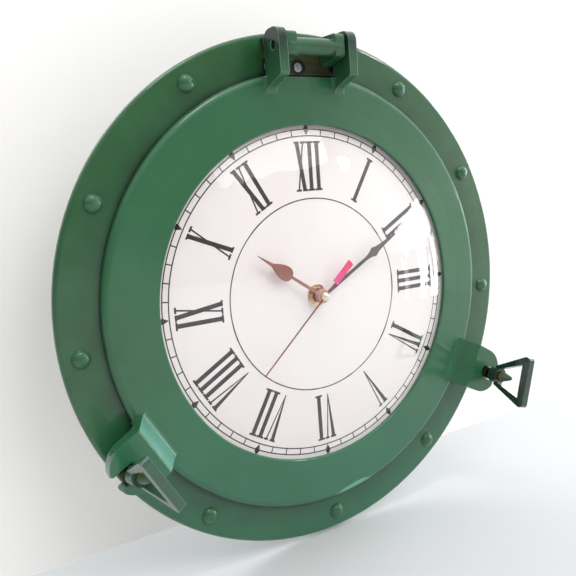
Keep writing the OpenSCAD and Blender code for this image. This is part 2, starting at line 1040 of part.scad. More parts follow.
flange_ring();
back_drum();
flange_rivets();
hinge_bracket();
hinge_screws();
dial_plate();
dial_face();
dial_screws();
rear_cover();
rear_cover_screws();
hanger_plate();
hanger_screws();
movement_case();
movement_cover();
movement_gasket();
fixing_nut();
battery_cell();
contact_positive();
contact_negative();
drive_coil();
stator();
circuit_board();
door_ring();
domed_glass();
glass_gasket();
glass_retainer();
retainer_screws();
hinge_pin();
clamp_pin_right();
clamp_pin_left();
swing_bolt_right();
swing_bolt_left();
bow_nut_right();
bow_nut_left();
hour_hand();
hour_wheel();
minute_hand();
minute_shaft();
second_hand();
second_wheel();
hand_cap();
minute_wheel();
set_knob();
rotor();
intermediate_wheel();
third_wheel();
centre_wheel();
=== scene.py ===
"""Looks of the porthole wall clock: materials, the dial's print, threads, camera and light."""

import json
import math

import bmesh
import bpy
from mathutils import Matrix, Vector


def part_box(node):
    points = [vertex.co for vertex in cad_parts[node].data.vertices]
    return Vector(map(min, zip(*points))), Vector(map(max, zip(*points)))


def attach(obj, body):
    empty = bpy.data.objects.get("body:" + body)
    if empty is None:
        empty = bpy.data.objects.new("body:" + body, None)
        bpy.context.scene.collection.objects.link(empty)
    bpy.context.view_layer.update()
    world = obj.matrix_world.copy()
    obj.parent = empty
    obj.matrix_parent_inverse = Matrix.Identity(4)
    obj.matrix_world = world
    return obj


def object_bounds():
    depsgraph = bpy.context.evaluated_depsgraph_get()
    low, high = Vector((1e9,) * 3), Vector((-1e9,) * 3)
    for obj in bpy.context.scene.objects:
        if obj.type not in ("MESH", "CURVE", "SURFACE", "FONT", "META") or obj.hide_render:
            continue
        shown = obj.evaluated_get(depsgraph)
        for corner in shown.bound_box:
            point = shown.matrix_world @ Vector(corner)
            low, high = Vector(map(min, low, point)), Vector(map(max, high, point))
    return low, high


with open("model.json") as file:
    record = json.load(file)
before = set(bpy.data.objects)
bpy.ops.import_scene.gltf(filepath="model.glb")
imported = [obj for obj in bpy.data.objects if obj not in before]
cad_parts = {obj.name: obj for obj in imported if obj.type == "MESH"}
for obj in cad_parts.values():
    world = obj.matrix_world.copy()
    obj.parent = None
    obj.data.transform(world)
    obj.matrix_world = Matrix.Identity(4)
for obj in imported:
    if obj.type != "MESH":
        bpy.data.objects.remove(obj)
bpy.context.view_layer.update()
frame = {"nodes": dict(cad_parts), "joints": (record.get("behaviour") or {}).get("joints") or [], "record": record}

NODES = frame["nodes"]
JOINTS = {joint["name"]: joint for joint in frame["joints"]}

# The clock's axis and the front of its dial, from the CAD
dial_lo, dial_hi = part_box("dial_face")
AXIS_X = (dial_lo.x + dial_hi.x) / 2
AXIS_Z = (dial_lo.z + dial_hi.z) / 2
DIAL_Y = dial_lo.y
MM = 0.001

# The flange's front and the top of the hinge ears, from the CAD; the door ring's outer radius
FLANGE_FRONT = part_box("flange_ring")[0].y
EAR_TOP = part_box("door_ring")[1].z
RING_R = 0.130

# Clockwise angle of the seconds hand's counterweight as the clock rests
SECOND_TAIL = 48

# The left clamp's clockwise angle, and how far its inner slope is tipped towards the front
LEFT_CLAMP = 241
SLOPE_TIP = math.radians(32.5)


def at(r, clockwise, proud=0.0):
    """The point at r mm from the clock's axis and a clockwise angle, proud mm in front of the dial."""
    turn = math.radians(clockwise)
    return Vector((
        AXIS_X + r * MM * math.sin(turn),
        DIAL_Y - proud * MM,
        AXIS_Z + r * MM * math.cos(turn),
    ))


# ---------------------------------------------------------------- materials


class Nodes:
    """A material's node tree, with short calls to add nodes and join them."""

    def __init__(self, name):
        self.material = bpy.data.materials.new(name)
        self.material.use_nodes = True
        self.tree = self.material.node_tree
        self.tree.nodes.clear()
        self.out = self.tree.nodes.new("ShaderNodeOutputMaterial")
        self.shader = self.tree.nodes.new("ShaderNodeBsdfPrincipled")
        self.join(self.shader.outputs["BSDF"], self.out.inputs["Surface"])
        self.place = self.tree.nodes.new("ShaderNodeTexCoord").outputs["Object"]

    def join(self, source, target):
        self.tree.links.new(source, target)

    def put(self, target, value):
        """Joins a socket, or sets a plain value."""
        if isinstance(value, bpy.types.NodeSocket):
            self.join(value, target)
        elif isinstance(value, tuple) and len(value) == 3 and target.type == "RGBA":
            target.default_value = (*value, 1.0)
        else:
            target.default_value = value

    def set(self, **values):
        """Values or sockets for the shader, with spaces written as underscores."""
        for name, value in values.items():
            self.put(self.shader.inputs[name.replace("_", " ")], value)

    def noise(self, scale, detail=4.0, rough=0.55, stretch=None):
        node = self.tree.nodes.new("ShaderNodeTexNoise")
        node.inputs["Scale"].default_value = scale
        node.inputs["Detail"].default_value = detail
        node.inputs["Roughness"].default_value = rough
        where = self.place
        if stretch:
            mapping = self.tree.nodes.new("ShaderNodeMapping")
            mapping.inputs["Scale"].default_value = stretch
            self.join(where, mapping.inputs["Vector"])
            where = mapping.outputs["Vector"]
        self.join(where, node.inputs["Vector"])
        return node.outputs["Fac"]

    def ramp(self, value, low, high):
        """A value rescaled from low..high to 0..1."""
        node = self.tree.nodes.new("ShaderNodeMapRange")
        node.inputs["From Min"].default_value = low
        node.inputs["From Max"].default_value = high
        self.join(value, node.inputs["Value"])
        return node.outputs["Result"]

    def span(self, value, low, high):
        """A 0..1 value rescaled to low..high."""
        node = self.tree.nodes.new("ShaderNodeMapRange")
        node.inputs["To Min"].default_value = low
        node.inputs["To Max"].default_value = high
        self.join(value, node.inputs["Value"])
        return node.outputs["Result"]

    def math(self, kind, a, b=0.0, clamp=False):
        node = self.tree.nodes.new("ShaderNodeMath")
        node.operation = kind
        node.use_clamp = clamp
        self.put(node.inputs[0], a)
        self.put(node.inputs[1], b)
        return node.outputs[0]

    def plus(self, a, b):
        return self.math("ADD", a, b)

    def minus(self, a, b):
        return self.math("SUBTRACT", a, b)

    def times(self, a, b, clamp=False):
        return self.math("MULTIPLY", a, b, clamp)

    def dot(self, vector, direction):
        node = self.tree.nodes.new("ShaderNodeVectorMath")
        node.operation = "DOT_PRODUCT"
        self.join(vector, node.inputs[0])
        self.put(node.inputs[1], direction)
        return node.outputs["Value"]

    def mix(self, part, first, second):
        node = self.tree.nodes.new("ShaderNodeMix")
        node.data_type = "RGBA"
        self.put(node.inputs["Factor"], part)
        self.put(node.inputs["A"], first)
        self.put(node.inputs["B"], second)
        return node.outputs["Result"]

    def xyz(self):
        node = self.tree.nodes.new("ShaderNodeSeparateXYZ")
        self.join(self.place, node.inputs[0])
        return node.outputs

    def apart(self, x_at, z_at):
        """How far the surface is from a point of the dial's plane, seen from the front."""
        x, y, z = self.xyz()
        squares = self.plus(self.math("POWER", self.minus(x, x_at), 2.0),
                            self.math("POWER", self.minus(z, z_at), 2.0))
        return self.math("POWER", squares, 0.5)

    def soft_edges(self, radius):
        """A normal that rounds the edges over radius metres, and a mask of where the edges are."""
        bevel = self.tree.nodes.new("ShaderNodeBevel")
        bevel.samples = 4
        bevel.inputs["Radius"].default_value = radius
        surface = self.tree.nodes.new("ShaderNodeNewGeometry")
        agree = self.dot(bevel.outputs["Normal"], surface.outputs["Normal"])
        return bevel.outputs["Normal"], self.ramp(agree, 0.995, 0.82)

    def bump(self, height, strength, distance, normal=None):
        node = self.tree.nodes.new("ShaderNodeBump")
        node.inputs["Strength"].default_value = strength
        node.inputs["Distance"].default_value = distance
        self.join(height, node.inputs["Height"])
        if normal is not None:
            self.join(normal, node.inputs["Normal"])
        return node.outputs["Normal"]


def paint(name, base, dark, wear_and_sheen_colour, rough=(0.26, 0.42), edge=0.0007, wear_and_sheen_amount=0.5, casting=False):
    """Satin paint: mottled, darker in blotches, lighter along its edges as wear and as a painted highlight.

    On the casting the colour also changes from place to place, with painted light, painted shade and a painted
    reflection added.
    """
    m = Nodes(name)
    normal, edges = m.soft_edges(edge)
    blotch = m.ramp(m.noise(14, 3), 0.38, 0.72)
    cloud = m.ramp(m.noise(46, 5), 0.3, 0.7)
    light = tuple(min(1.0, c * 1.22 + 0.006) for c in base)
    if casting:
        base = clamp_painted_light_and_shade(m, casting_green(m))
    colour = m.mix(m.times(blotch, 0.45), base, dark)
    colour = m.mix(m.times(cloud, 0.4), colour, light)
    # Lighter edges: partly wear, partly a painted highlight on the rounded edges
    broken = m.times(edges, m.ramp(m.noise(150, 4), 0.32, 0.62), clamp=True)
    colour = m.mix(m.times(broken, wear_and_sheen_amount), colour, wear_and_sheen_colour)
    if casting:
        colour = ear_darkening_and_painted_glints(m, step_painted_reflection(m, colour, wear_and_sheen_colour))
    m.set(Base_Color=colour, Roughness=m.span(m.noise(60, 4), *rough))
    m.set(Coat_Weight=0.5, Coat_Roughness=0.1)
    skin = m.bump(m.noise(130, 2), 0.28, 0.0004, normal)
    m.set(Normal=m.bump(m.noise(420, 3), 0.16, 0.00012, skin))
    return m.material


def casting_green(m):
    """The casting's green: yellower on the flange, brighter and bluer towards the bottom as painted light, and
    darker on the flange by the ring as painted shade.
    """
    x, y, z = m.xyz()
    # Painted light: brighter and bluer towards the bottom
    low = m.ramp(z, AXIS_Z - 0.02, AXIS_Z - 0.14)
    flange = m.mix(low, (0.021, 0.094, 0.027), (0.020, 0.138, 0.074))
    ring = m.mix(low, (0.027, 0.132, 0.055), (0.023, 0.168, 0.094))
    radius = m.apart(AXIS_X, AXIS_Z)
    # Painted shade on the flange next to the ring, with a darker line at the seam
    wide = m.times(m.ramp(radius, RING_R + 0.016, RING_R), 0.5)
    narrow = m.times(m.ramp(radius, RING_R + 0.003, RING_R + 0.001), 0.45)
    outside = m.ramp(radius, RING_R - 0.0028, RING_R - 0.0004)
    seam_painted_shade = m.times(m.plus(wide, narrow), outside)
    flange = m.mix(seam_painted_shade, flange, (0.004, 0.018, 0.007))
    return m.mix(m.ramp(y, FLANGE_FRONT - 0.001, FLANGE_FRONT - 0.003), flange, ring)


def clamp_painted_light_and_shade(m, colour):
    """The left clamp's inner slope is painted paler and bluer as a painted reflection, brightest towards its upper
    edge; the right clamp is painted a deeper green as painted shade.
    """
    x, y, z = m.xyz()
    inwards = (at(0, LEFT_CLAMP) - at(1, LEFT_CLAMP)).normalized()
    facing = inwards * math.cos(SLOPE_TIP) + Vector((0, -math.sin(SLOPE_TIP), 0))
    normal = m.tree.nodes.new("ShaderNodeTexCoord").outputs["Normal"]
    # Painted reflection on the left clamp's inner slope
    on_left = m.ramp(x, AXIS_X - 0.06, AXIS_X - 0.07)
    slope = m.times(m.ramp(m.dot(normal, facing), 0.94, 0.985), on_left)
    upper = m.ramp(y, FLANGE_FRONT - 0.006, FLANGE_FRONT - 0.0145)
    painted_reflection_tone = m.mix(upper, (0.07, 0.36, 0.26), (0.26, 0.56, 0.48))
    colour = m.mix(m.times(slope, 0.8), colour, painted_reflection_tone)
    # Painted shade on the right clamp
    on_right = m.ramp(x, AXIS_X + 0.095, AXIS_X + 0.106)
    right_painted_shade = m.times(on_right, m.ramp(y, FLANGE_FRONT - 0.006, FLANGE_FRONT - 0.0085))
    return m.mix(m.times(right_painted_shade, 0.8, clamp=True), colour, (0.007, 0.096, 0.034))


def step_painted_reflection(m, colour, wear_and_sheen_colour):
    """A painted reflection: a lighter leaf-shaped patch on the ring's outer step, near six o'clock."""
    x, y, z = m.xyz()
    middle_x = AXIS_X + 0.017
    middle_r = RING_R - 0.0015
    half_length = 0.0155
    half_width = 0.0036
    along = m.math("DIVIDE", m.minus(x, middle_x), half_length)
    across = m.math("DIVIDE", m.minus(m.apart(AXIS_X, AXIS_Z), middle_r), half_width)
    distance = m.plus(m.math("POWER", along, 2.0), m.math("ABSOLUTE", across))
    ragged = m.plus(distance, m.span(m.noise(260, 3), -0.25, 0.25))
    below = m.ramp(z, AXIS_Z - 0.1, AXIS_Z - 0.101)
    proud = m.ramp(y, FLANGE_FRONT - 0.001, FLANGE_FRONT - 0.0016)
    # Where the painted reflection lies
    part = m.times(m.ramp(ragged, 1.0, 0.82), m.times(below, proud))
    return m.mix(m.times(part, 0.85, clamp=True), colour, wear_and_sheen_colour)


def ear_darkening_and_painted_glints(m, colour):
    """Darker towards the upper ends of the hinge ears, with painted highlights along their edges there."""
    x, y, z = m.xyz()
    proud = m.ramp(y, FLANGE_FRONT - 0.0045, FLANGE_FRONT - 0.0055)
    uneven = m.plus(z, m.span(m.noise(120, 4), -0.006, 0.006))
    high = m.ramp(uneven, EAR_TOP - 0.0243, EAR_TOP - 0.0063)
    part = m.times(m.times(high, proud), 0.9, clamp=True)
    # Darker towards the upper ends of the ears
    colour = m.mix(part, colour, (0.008, 0.018, 0.012))
    # Painted highlights along the ears' edges
    normal, edges = m.soft_edges(0.0006)
    on_ears = m.ramp(z, EAR_TOP - 0.0333, EAR_TOP - 0.0303)
    painted_glint_mask = m.times(m.times(edges, proud), on_ears)
    return m.mix(m.times(painted_glint_mask, 0.85, clamp=True), colour, (0.42, 0.60, 0.50))


def bracket_paint(name, base, dark, wear_and_sheen_colour):
    """The bracket's paint, with a streaky olive-brown base plate darkened as painted shade, and rings of painted
    shade round its screws.
    """
    m = Nodes(name)
    normal, edges = m.soft_edges(0.0006)
    x, y, z = m.xyz()
    colour = m.mix(m.ramp(m.noise(30, 4), 0.35, 0.7), base, dark)
    colour = m.mix(m.times(edges, 0.5), colour, wear_and_sheen_colour)
    streaks = m.ramp(m.noise(60, 4, stretch=(0.25, 1, 4)), 0.42, 0.68)
    olive = m.mix(streaks, (0.022, 0.030, 0.016), (0.085, 0.078, 0.034))
    # The set-back base plate: olive-brown streaks, kept dark as painted shade
    plate = m.ramp(y, FLANGE_FRONT - 0.0045, FLANGE_FRONT - 0.0032)
    colour = m.mix(plate, colour, olive)
    screw_lo, screw_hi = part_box("hinge_screws")
    middle = (screw_lo + screw_hi) / 2
    screw_r = 0.0026
    # Rings of painted shade round the screws, in their counterbores
    for across in (screw_lo.x + screw_r, middle.x - 0.002, screw_hi.x - screw_r):
        shade = m.ramp(m.apart(across, middle.z), 2 * screw_r, 0.0043)
        colour = m.mix(m.times(shade, plate, clamp=True), colour, (0.006, 0.010, 0.007))
    m.set(Base_Color=colour, Roughness=m.span(m.noise(60, 4), 0.24, 0.42))
    m.set(Coat_Weight=m.span(plate, 0.5, 0.1), Coat_Roughness=0.1)
    m.set(Normal=m.bump(m.noise(130, 3), 0.3, 0.0004, normal))
    return m.material


def lacquer(name, base, rim, rough=(0.14, 0.24)):
    """A hand's gloss lacquer, dark along its outline, with its boss painted copper as a painted reflection."""
    m = Nodes(name)
    normal, edges = m.soft_edges(0.0004)
    cloud = tuple(c * 0.7 for c in base)
    colour = m.mix(m.ramp(m.noise(90, 4), 0.35, 0.7), base, cloud)
    colour = m.mix(edges, colour, rim)
    # The boss near the axis is painted copper as a painted reflection
    boss_painted_reflection = m.ramp(m.apart(AXIS_X, AXIS_Z), 0.0050, 0.0044)
    colour = m.mix(boss_painted_reflection, colour, (0.62, 0.30, 0.24))
    m.set(Base_Color=colour, Roughness=m.span(m.noise(200, 3), *rough))
    m.set(Coat_Weight=0.6, Coat_Roughness=0.08)
    m.set(Normal=m.bump(m.noise(500, 3), 0.1, 0.00003, normal))
    return m.material


def two_reds(name, pointer, tail):
    """The seconds hand: a dark red pointer and a bright pink counterweight."""
    m = Nodes(name)
    out = (at(1, SECOND_TAIL) - at(0, SECOND_TAIL)).normalized()
    along = m.minus(m.dot(m.place, out), at(0, 0).dot(out))
    warm = m.mix(m.ramp(along, 0.015, 0.027), tail, (0.84, 0.05, 0.12))
    colour = m.mix(m.ramp(along, 0.0095, 0.0105), pointer, warm)
    colour = m.mix(m.span(m.noise(300, 3), 0.0, 0.12), colour, (0.3, 0.02, 0.05))
    m.set(Base_Color=colour, Roughness=m.span(m.noise(200, 3), 0.2, 0.32))
    m.set(Normal=m.bump(m.noise(700, 3), 0.1, 0.00002))
    return m.material


def metal(name, base, rough=(0.18, 0.36), edge=0.0003, grime=0.5, stretch=None):
    """Plated or turned metal with fine marks and a little grime in its hollows."""
    m = Nodes(name)
    normal, edges = m.soft_edges(edge)
    dull = tuple(c * 0.45 for c in base)
    stain = m.ramp(m.noise(170, 5), 0.48, 0.72)
    colour = m.mix(m.times(stain, grime), base, dull)
    light = tuple(min(1.0, c * 1.25) for c in base)
    colour = m.mix(m.times(edges, 0.5), colour, light)
    marks = m.noise(900, 3, stretch=stretch)
    m.set(Base_Color=colour, Metallic=1.0, Roughness=m.span(m.noise(240, 4), *rough))
    m.set(Normal=m.bump(marks, 0.12, 0.00005, normal))
    return m.material


def screws_with_painted_shade(name, base, bright_to, dark_from):
    """Plated screws, bright on the left and darkened nearly black on the right as painted shade."""
    m = Nodes(name)
    normal, edges = m.soft_edges(0.0003)
    x, y, z = m.xyz()
    dull = tuple(c * 0.45 for c in base)
    colour = m.mix(m.times(m.ramp(m.noise(170, 5), 0.48, 0.72), 0.5), base, dull)
    # Painted shade: the screws darken towards the right
    colour = m.mix(m.ramp(x, bright_to, dark_from), colour, (0.012, 0.015, 0.014))
    m.set(Base_Color=colour, Metallic=1.0, Roughness=m.span(m.noise(240, 4), 0.2, 0.4))
    m.set(Normal=m.bump(m.noise(900, 3), 0.12, 0.00005, normal))
    return m.material


def plastic(name, base, rough=(0.3, 0.5), edge=0.0003, grain=700, depth=0.00006):
    """Moulded plastic or rubber with a fine grain and slightly paler edges."""
    m = Nodes(name)
    normal, edges = m.soft_edges(edge)
    light = tuple(min(1.0, c * 1.3 + 0.01) for c in base)
    dark = tuple(c * 0.72 for c in base)
    colour = m.mix(m.ramp(m.noise(90, 4), 0.35, 0.7), base, dark)
    colour = m.mix(m.times(edges, 0.6), colour, light)
    m.set(Base_Color=colour, Roughness=m.span(m.noise(200, 3), *rough))
    m.set(Normal=m.bump(m.noise(grain, 3), 0.25, depth, normal))
    return m.material


def card(name, base):
    """Printed card: a faint warm tone towards one side, fibres and a satin surface."""
    m = Nodes(name)
    warm = tuple(c * f for c, f in zip(base, (1.0, 0.955, 0.945)))
    colour = m.mix(m.ramp(m.noise(9, 2), 0.35, 0.65), base, warm)
    fibre = m.noise(1500, 4, stretch=(1, 1, 0.3))
    colour = m.mix(m.span(fibre, 0.0, 0.035), colour, (0.55, 0.50, 0.46))
    m.set(Base_Color=colour, Roughness=m.span(m.noise(300, 2), 0.42, 0.55))
    m.set(Normal=m.bump(fibre, 0.12, 0.00003))
    return m.material


def ink(name, base):
    """Printed ink: nearly black, a little thinner in places."""
    m = Nodes(name)
    thin = tuple(c * 1.9 + 0.01 for c in base)
    m.set(Base_Color=m.mix(m.ramp(m.noise(600, 3), 0.45, 0.75), base, thin))
    m.set(Roughness=m.span(m.noise(500, 2), 0.45, 0.62))
    m.set(Normal=m.bump(m.noise(2000, 2), 0.1, 0.00002))
    return m.material


def board(name, base, dark):
    """Pressed fibre board: flecks and a rough matt surface."""
    m = Nodes(name)
    normal, edges = m.soft_edges(0.0004)
    flecks = m.ramp(m.noise(520, 5, 0.7, stretch=(1, 1, 0.45)), 0.42, 0.62)
    colour = m.mix(m.times(flecks, 0.8), base, dark)
    colour = m.mix(m.times(m.noise(20, 3), 0.35), colour, dark)
    light = tuple(min(1.0, c * 1.5) for c in base)
    colour = m.mix(m.times(edges, 0.5), colour, light)
    m.set(Base_Color=colour, Roughness=m.span(m.noise(150, 3), 0.62, 0.85))
    m.set(Normal=m.bump(m.noise(700, 4), 0.4, 0.00012, normal))
    return m.material


def glass(name):
    """Clear glass: it lets the lamps' light through to the dial, with faint smears."""
    m = Nodes(name)
    smear = m.ramp(m.noise(22, 4, stretch=(1, 1, 2.2)), 0.5, 0.8)
    m.set(Base_Color=(0.985, 0.995, 0.99), Transmission_Weight=1.0, IOR=1.45)
    m.set(Roughness=m.span(smear, 0.0, 0.035))
    m.set(Normal=m.bump(m.noise(9, 1), 0.03, 0.0006))
    clear = m.tree.nodes.new("ShaderNodeBsdfTransparent")
    clear.inputs["Color"].default_value = (0.97, 0.985, 0.98, 1.0)
    path = m.tree.nodes.new("ShaderNodeLightPath")
    either = m.tree.nodes.new("ShaderNodeMixShader")
    m.join(path.outputs["Is Shadow Ray"], either.inputs[0])
    m.join(m.shader.outputs["BSDF"], either.inputs[1])
    m.join(clear.outputs["BSDF"], either.inputs[2])
    m.join(either.outputs["Shader"], m.out.inputs["Surface"])
    return m.material


def bolt_metal(name, joint, tip_from, tip_to):
    """Dull brass that turns to green paint towards the bolt's tip, as it was sprayed in place."""
    m = Nodes(name)
    normal, edges = m.soft_edges(0.0003)
    pin = Vector(JOINTS[joint]["pos_m"])
    along = Vector(JOINTS[joint]["axis"])
    height = m.minus(m.dot(m.place, along), pin.dot(along))
    height = m.plus(height, m.span(m.noise(300, 4), -0.0022, 0.0022))
    painted = m.ramp(height, tip_from, tip_to)
    brass = m.mix(m.ramp(m.noise(260, 5), 0.4, 0.7), (0.46, 0.33, 0.12), (0.16, 0.12, 0.05))
    # Painted shade: the shank below the nut's hub is darkened
    brass = m.mix(m.ramp(height, 0.0115, 0.0085), brass, (0.035, 0.045, 0.018))
    m.set(Base_Color=m.mix(painted, brass, (0.06, 0.13, 0.06)))
    m.set(Metallic=m.span(painted, 1.0, 0.0), Roughness=m.span(m.noise(200, 4), 0.28, 0.5))
    m.set(Normal=m.bump(m.noise(800, 3), 0.2, 0.00008, normal))
    return m.material


def cell_sleeve(name, centre):
    """The AA cell's printed sleeve: dark, with a copper-coloured band at the positive end."""
    m = Nodes(name)
    normal, edges = m.soft_edges(0.0003)
    x, y, z = m.xyz()
    band = m.ramp(x, centre.x + 0.0098, centre.x + 0.01)
    cap = m.ramp(m.math("ABSOLUTE", m.minus(x, centre.x + 0.0001)), 0.0243, 0.0245)
    colour = m.mix(band, (0.03, 0.035, 0.045), (0.52, 0.26, 0.10))
    colour = m.mix(cap, colour, (0.6, 0.6, 0.6))
    colour = m.mix(m.span(m.noise(200, 4), 0.0, 0.25), colour, (0.2, 0.2, 0.2))
    m.set(Base_Color=colour, Metallic=m.span(cap, 0.0, 1.0))
    m.set(Roughness=m.span(m.noise(120, 3), 0.2, 0.34))
    m.set(Normal=m.bump(m.noise(400, 2), 0.1, 0.00004, normal))
    return m.material


GREEN = (0.025, 0.120, 0.048)
GREEN_DARK = (0.013, 0.066, 0.026)
TEAL = (0.17, 0.42, 0.30)

FINISHES = {
    "green_casting": paint("ring_paint", GREEN, GREEN_DARK, TEAL, casting=True),
    "green_rivet": paint("rivet_paint", GREEN, GREEN_DARK, TEAL, wear_and_sheen_amount=0.35, edge=0.0004),
    "retainer": paint("retainer_paint", (0.085, 0.080, 0.060), (0.045, 0.045, 0.032),
                      (0.16, 0.18, 0.14), wear_and_sheen_amount=0.3),
    "green_nut": paint("nut_paint", (0.008, 0.036, 0.019), (0.005, 0.018, 0.010),
                       (0.10, 0.20, 0.16), rough=(0.16, 0.3), edge=0.0009, wear_and_sheen_amount=0.35),
    "zinc": metal("zinc_plate", (0.66, 0.67, 0.68)),
    "brass": metal("polished_brass", (0.83, 0.58, 0.36), rough=(0.14, 0.26), grime=0.2),
    "magnet": metal("magnet_metal", (0.16, 0.16, 0.17), rough=(0.4, 0.6)),
    "copper": metal("copper_wire", (0.62, 0.24, 0.10), rough=(0.25, 0.4), stretch=(14, 1, 1)),
    "rubber": plastic("black_rubber", (0.014, 0.014, 0.014), rough=(0.6, 0.8)),
    "black_plastic": plastic("black_moulding", (0.012, 0.012, 0.013), rough=(0.32, 0.5)),
    "ivory_plastic": plastic("acetal", (0.72, 0.68, 0.54), rough=(0.25, 0.4)),
    "board": plastic("circuit_laminate", (0.02, 0.12, 0.05), rough=(0.3, 0.45)),
    "hand_black": lacquer("hand_lacquer", (0.36, 0.120, 0.090), (0.022, 0.010, 0.009)),
    "hand_red": two_reds("red_lacquer", (0.20, 0.018, 0.040), (0.80, 0.065, 0.30)),
    "dial_board": board("dial_fibre", (0.34, 0.22, 0.12), (0.20, 0.12, 0.06)),
    "back_board": board("back_fibre", (0.20, 0.11, 0.055), (0.10, 0.055, 0.028)),
    "dial_print": card("dial_card", (0.91, 0.84, 0.85)),
    "glass": glass("dome_glass"),
    "brass_thread": bolt_metal("bolt_right_finish", "nut_spin_right", 0.0160, 0.0182),
}
DIAL_INK = ink("dial_ink", (0.020, 0.014, 0.015))

cell_lo, cell_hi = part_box("battery_cell")
OWN_FINISH = {
    "swing_bolt_left": bolt_metal("bolt_left_finish", "nut_spin_left", 0.0160, 0.0182),
    # The left nut has the same paint as the right one, given lighter and greener as painted light on its bow
    "bow_nut_left": paint("left_nut_lit_paint", (0.030, 0.088, 0.052), (0.012, 0.040, 0.024),
                          (0.22, 0.40, 0.32), rough=(0.28, 0.42), edge=0.0009),
    "hinge_screws": screws_with_painted_shade("hinge_screw_zinc", (0.66, 0.67, 0.68), AXIS_X + 0.006,
                              AXIS_X + 0.009),
    "battery_cell": cell_sleeve("cell_sleeve", (cell_lo + cell_hi) / 2),
    "hinge_bracket": bracket_paint("bracket_paint", GREEN, GREEN_DARK, TEAL),
    "hinge_pin": paint("pin_paint", (0.016, 0.030, 0.020), (0.008, 0.014, 0.010),
                       (0.4, 0.42, 0.4), wear_and_sheen_amount=0.7, edge=0.0004),
    "minute_hand": lacquer("minute_lacquer", (0.075, 0.045, 0.045), (0.022, 0.012, 0.012)),
    "hand_cap": metal("cap_brass", (0.93, 0.83, 0.62), rough=(0.22, 0.34), grime=0.15),
}

slots = {part["node"]: part["material_slot"] for part in frame["record"]["subparts"]}
for name, node in NODES.items():
    node.data.materials.clear()
    node.data.materials.append(OWN_FINISH.get(name) or FINISHES[slots[name]])


# ---------------------------------------------------------------- pieces


def piece(name, body, material):
    """A new empty mesh object that rides on a body."""
    made = bpy.data.objects.new(name, bpy.data.meshes.new(name))
    bpy.context.scene.collection.objects.link(made)
    made.data.materials.append(material)
    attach(made, body)
    return made


def fill(target, build):
    """Runs build on a bmesh and writes it to the piece."""
    work = bmesh.new()
    build(work)
    bmesh.ops.recalc_face_normals(work, faces=work.faces)
    work.to_mesh(target.data)
    work.free()
    return target


# How far the print stands in front of the dial, in mm
INK_PROUD = 0.05


def slab(work, front):
    """A thin printed shape from its front outline's points, in order."""
    back = [work.verts.new(point + Vector((0, INK_PROUD * 0.8 * MM, 0))) for point in front]
    face = [work.verts.new(point) for point in front]
    work.faces.new(face)
    work.faces.new(list(reversed(back)))
    for i, j in zip(range(len(face)), [*range(1, len(face)), 0]):
        work.faces.new((face[i], back[i], back[j], face[j]))


def band(work, inner, outer, steps=240):
    """A thin printed circle between two radii, in mm."""
    for i in range(steps):
        a, b = 360 * i / steps, 360 * (i + 1) / steps
        corners = [at(inner, a, INK_PROUD), at(outer, a, INK_PROUD),
                   at(outer, b, INK_PROUD), at(inner, b, INK_PROUD)]
        work.faces.new([work.verts.new(corner) for corner in corners])
    bmesh.ops.remove_doubles(work, verts=work.verts, dist=1e-7)


# Radii of the printed circles, the width of their lines and the hour diamonds' size, in mm
TRACK_OUTER = 97.6
TRACK_INNER = 93.9
CHAPTER_LINE = 57.8
LINE = 0.70
TICK_AT = 95
DIAMOND_AT = 97.9
DIAMOND_LONG = 3.7
DIAMOND_WIDE = 1.85


def minute_track(work):
    band(work, TRACK_OUTER - LINE / 2, TRACK_OUTER + LINE / 2)
    band(work, TRACK_INNER - LINE / 2, TRACK_INNER + LINE / 2)
    for minute in range(60):
        if minute % 5 == 0:
            continue
        side = math.degrees(LINE / 2 / TICK_AT)
        a, b = minute * 6 - side, minute * 6 + side
        slab(work, [at(TRACK_INNER, a, INK_PROUD), at(TRACK_OUTER, a, INK_PROUD),
                    at(TRACK_OUTER, b, INK_PROUD), at(TRACK_INNER, b, INK_PROUD)])


def hour_diamonds(work):
    for hour in range(12):
        turn = hour * 30
        side = math.degrees(DIAMOND_WIDE / DIAMOND_AT)
        slab(work, [at(DIAMOND_AT - DIAMOND_LONG, turn, INK_PROUD),
                    at(DIAMOND_AT, turn - side, INK_PROUD),
                    at(DIAMOND_AT + DIAMOND_LONG, turn, INK_PROUD),
                    at(DIAMOND_AT, turn + side, INK_PROUD)])


fill(piece("minute_track", "case", DIAL_INK), minute_track)
fill(piece("hour_diamonds", "case", DIAL_INK), hour_diamonds)
fill(piece("chapter_circle", "case", DIAL_INK),
     lambda work: band(work, CHAPTER_LINE - LINE / 2, CHAPTER_LINE + LINE / 2))

# Roman numerals, in mm. They stand on the inner side, so a V's point is towards the centre
FOOT = 62.2
HEAD = 90.8
THICK = 2.55
THIN = 0.95
SERIF = 4.8
SERIF_T = 1.2
WIDTHS = {"I": 5.1, "V": 8.2, "X": 8.0}


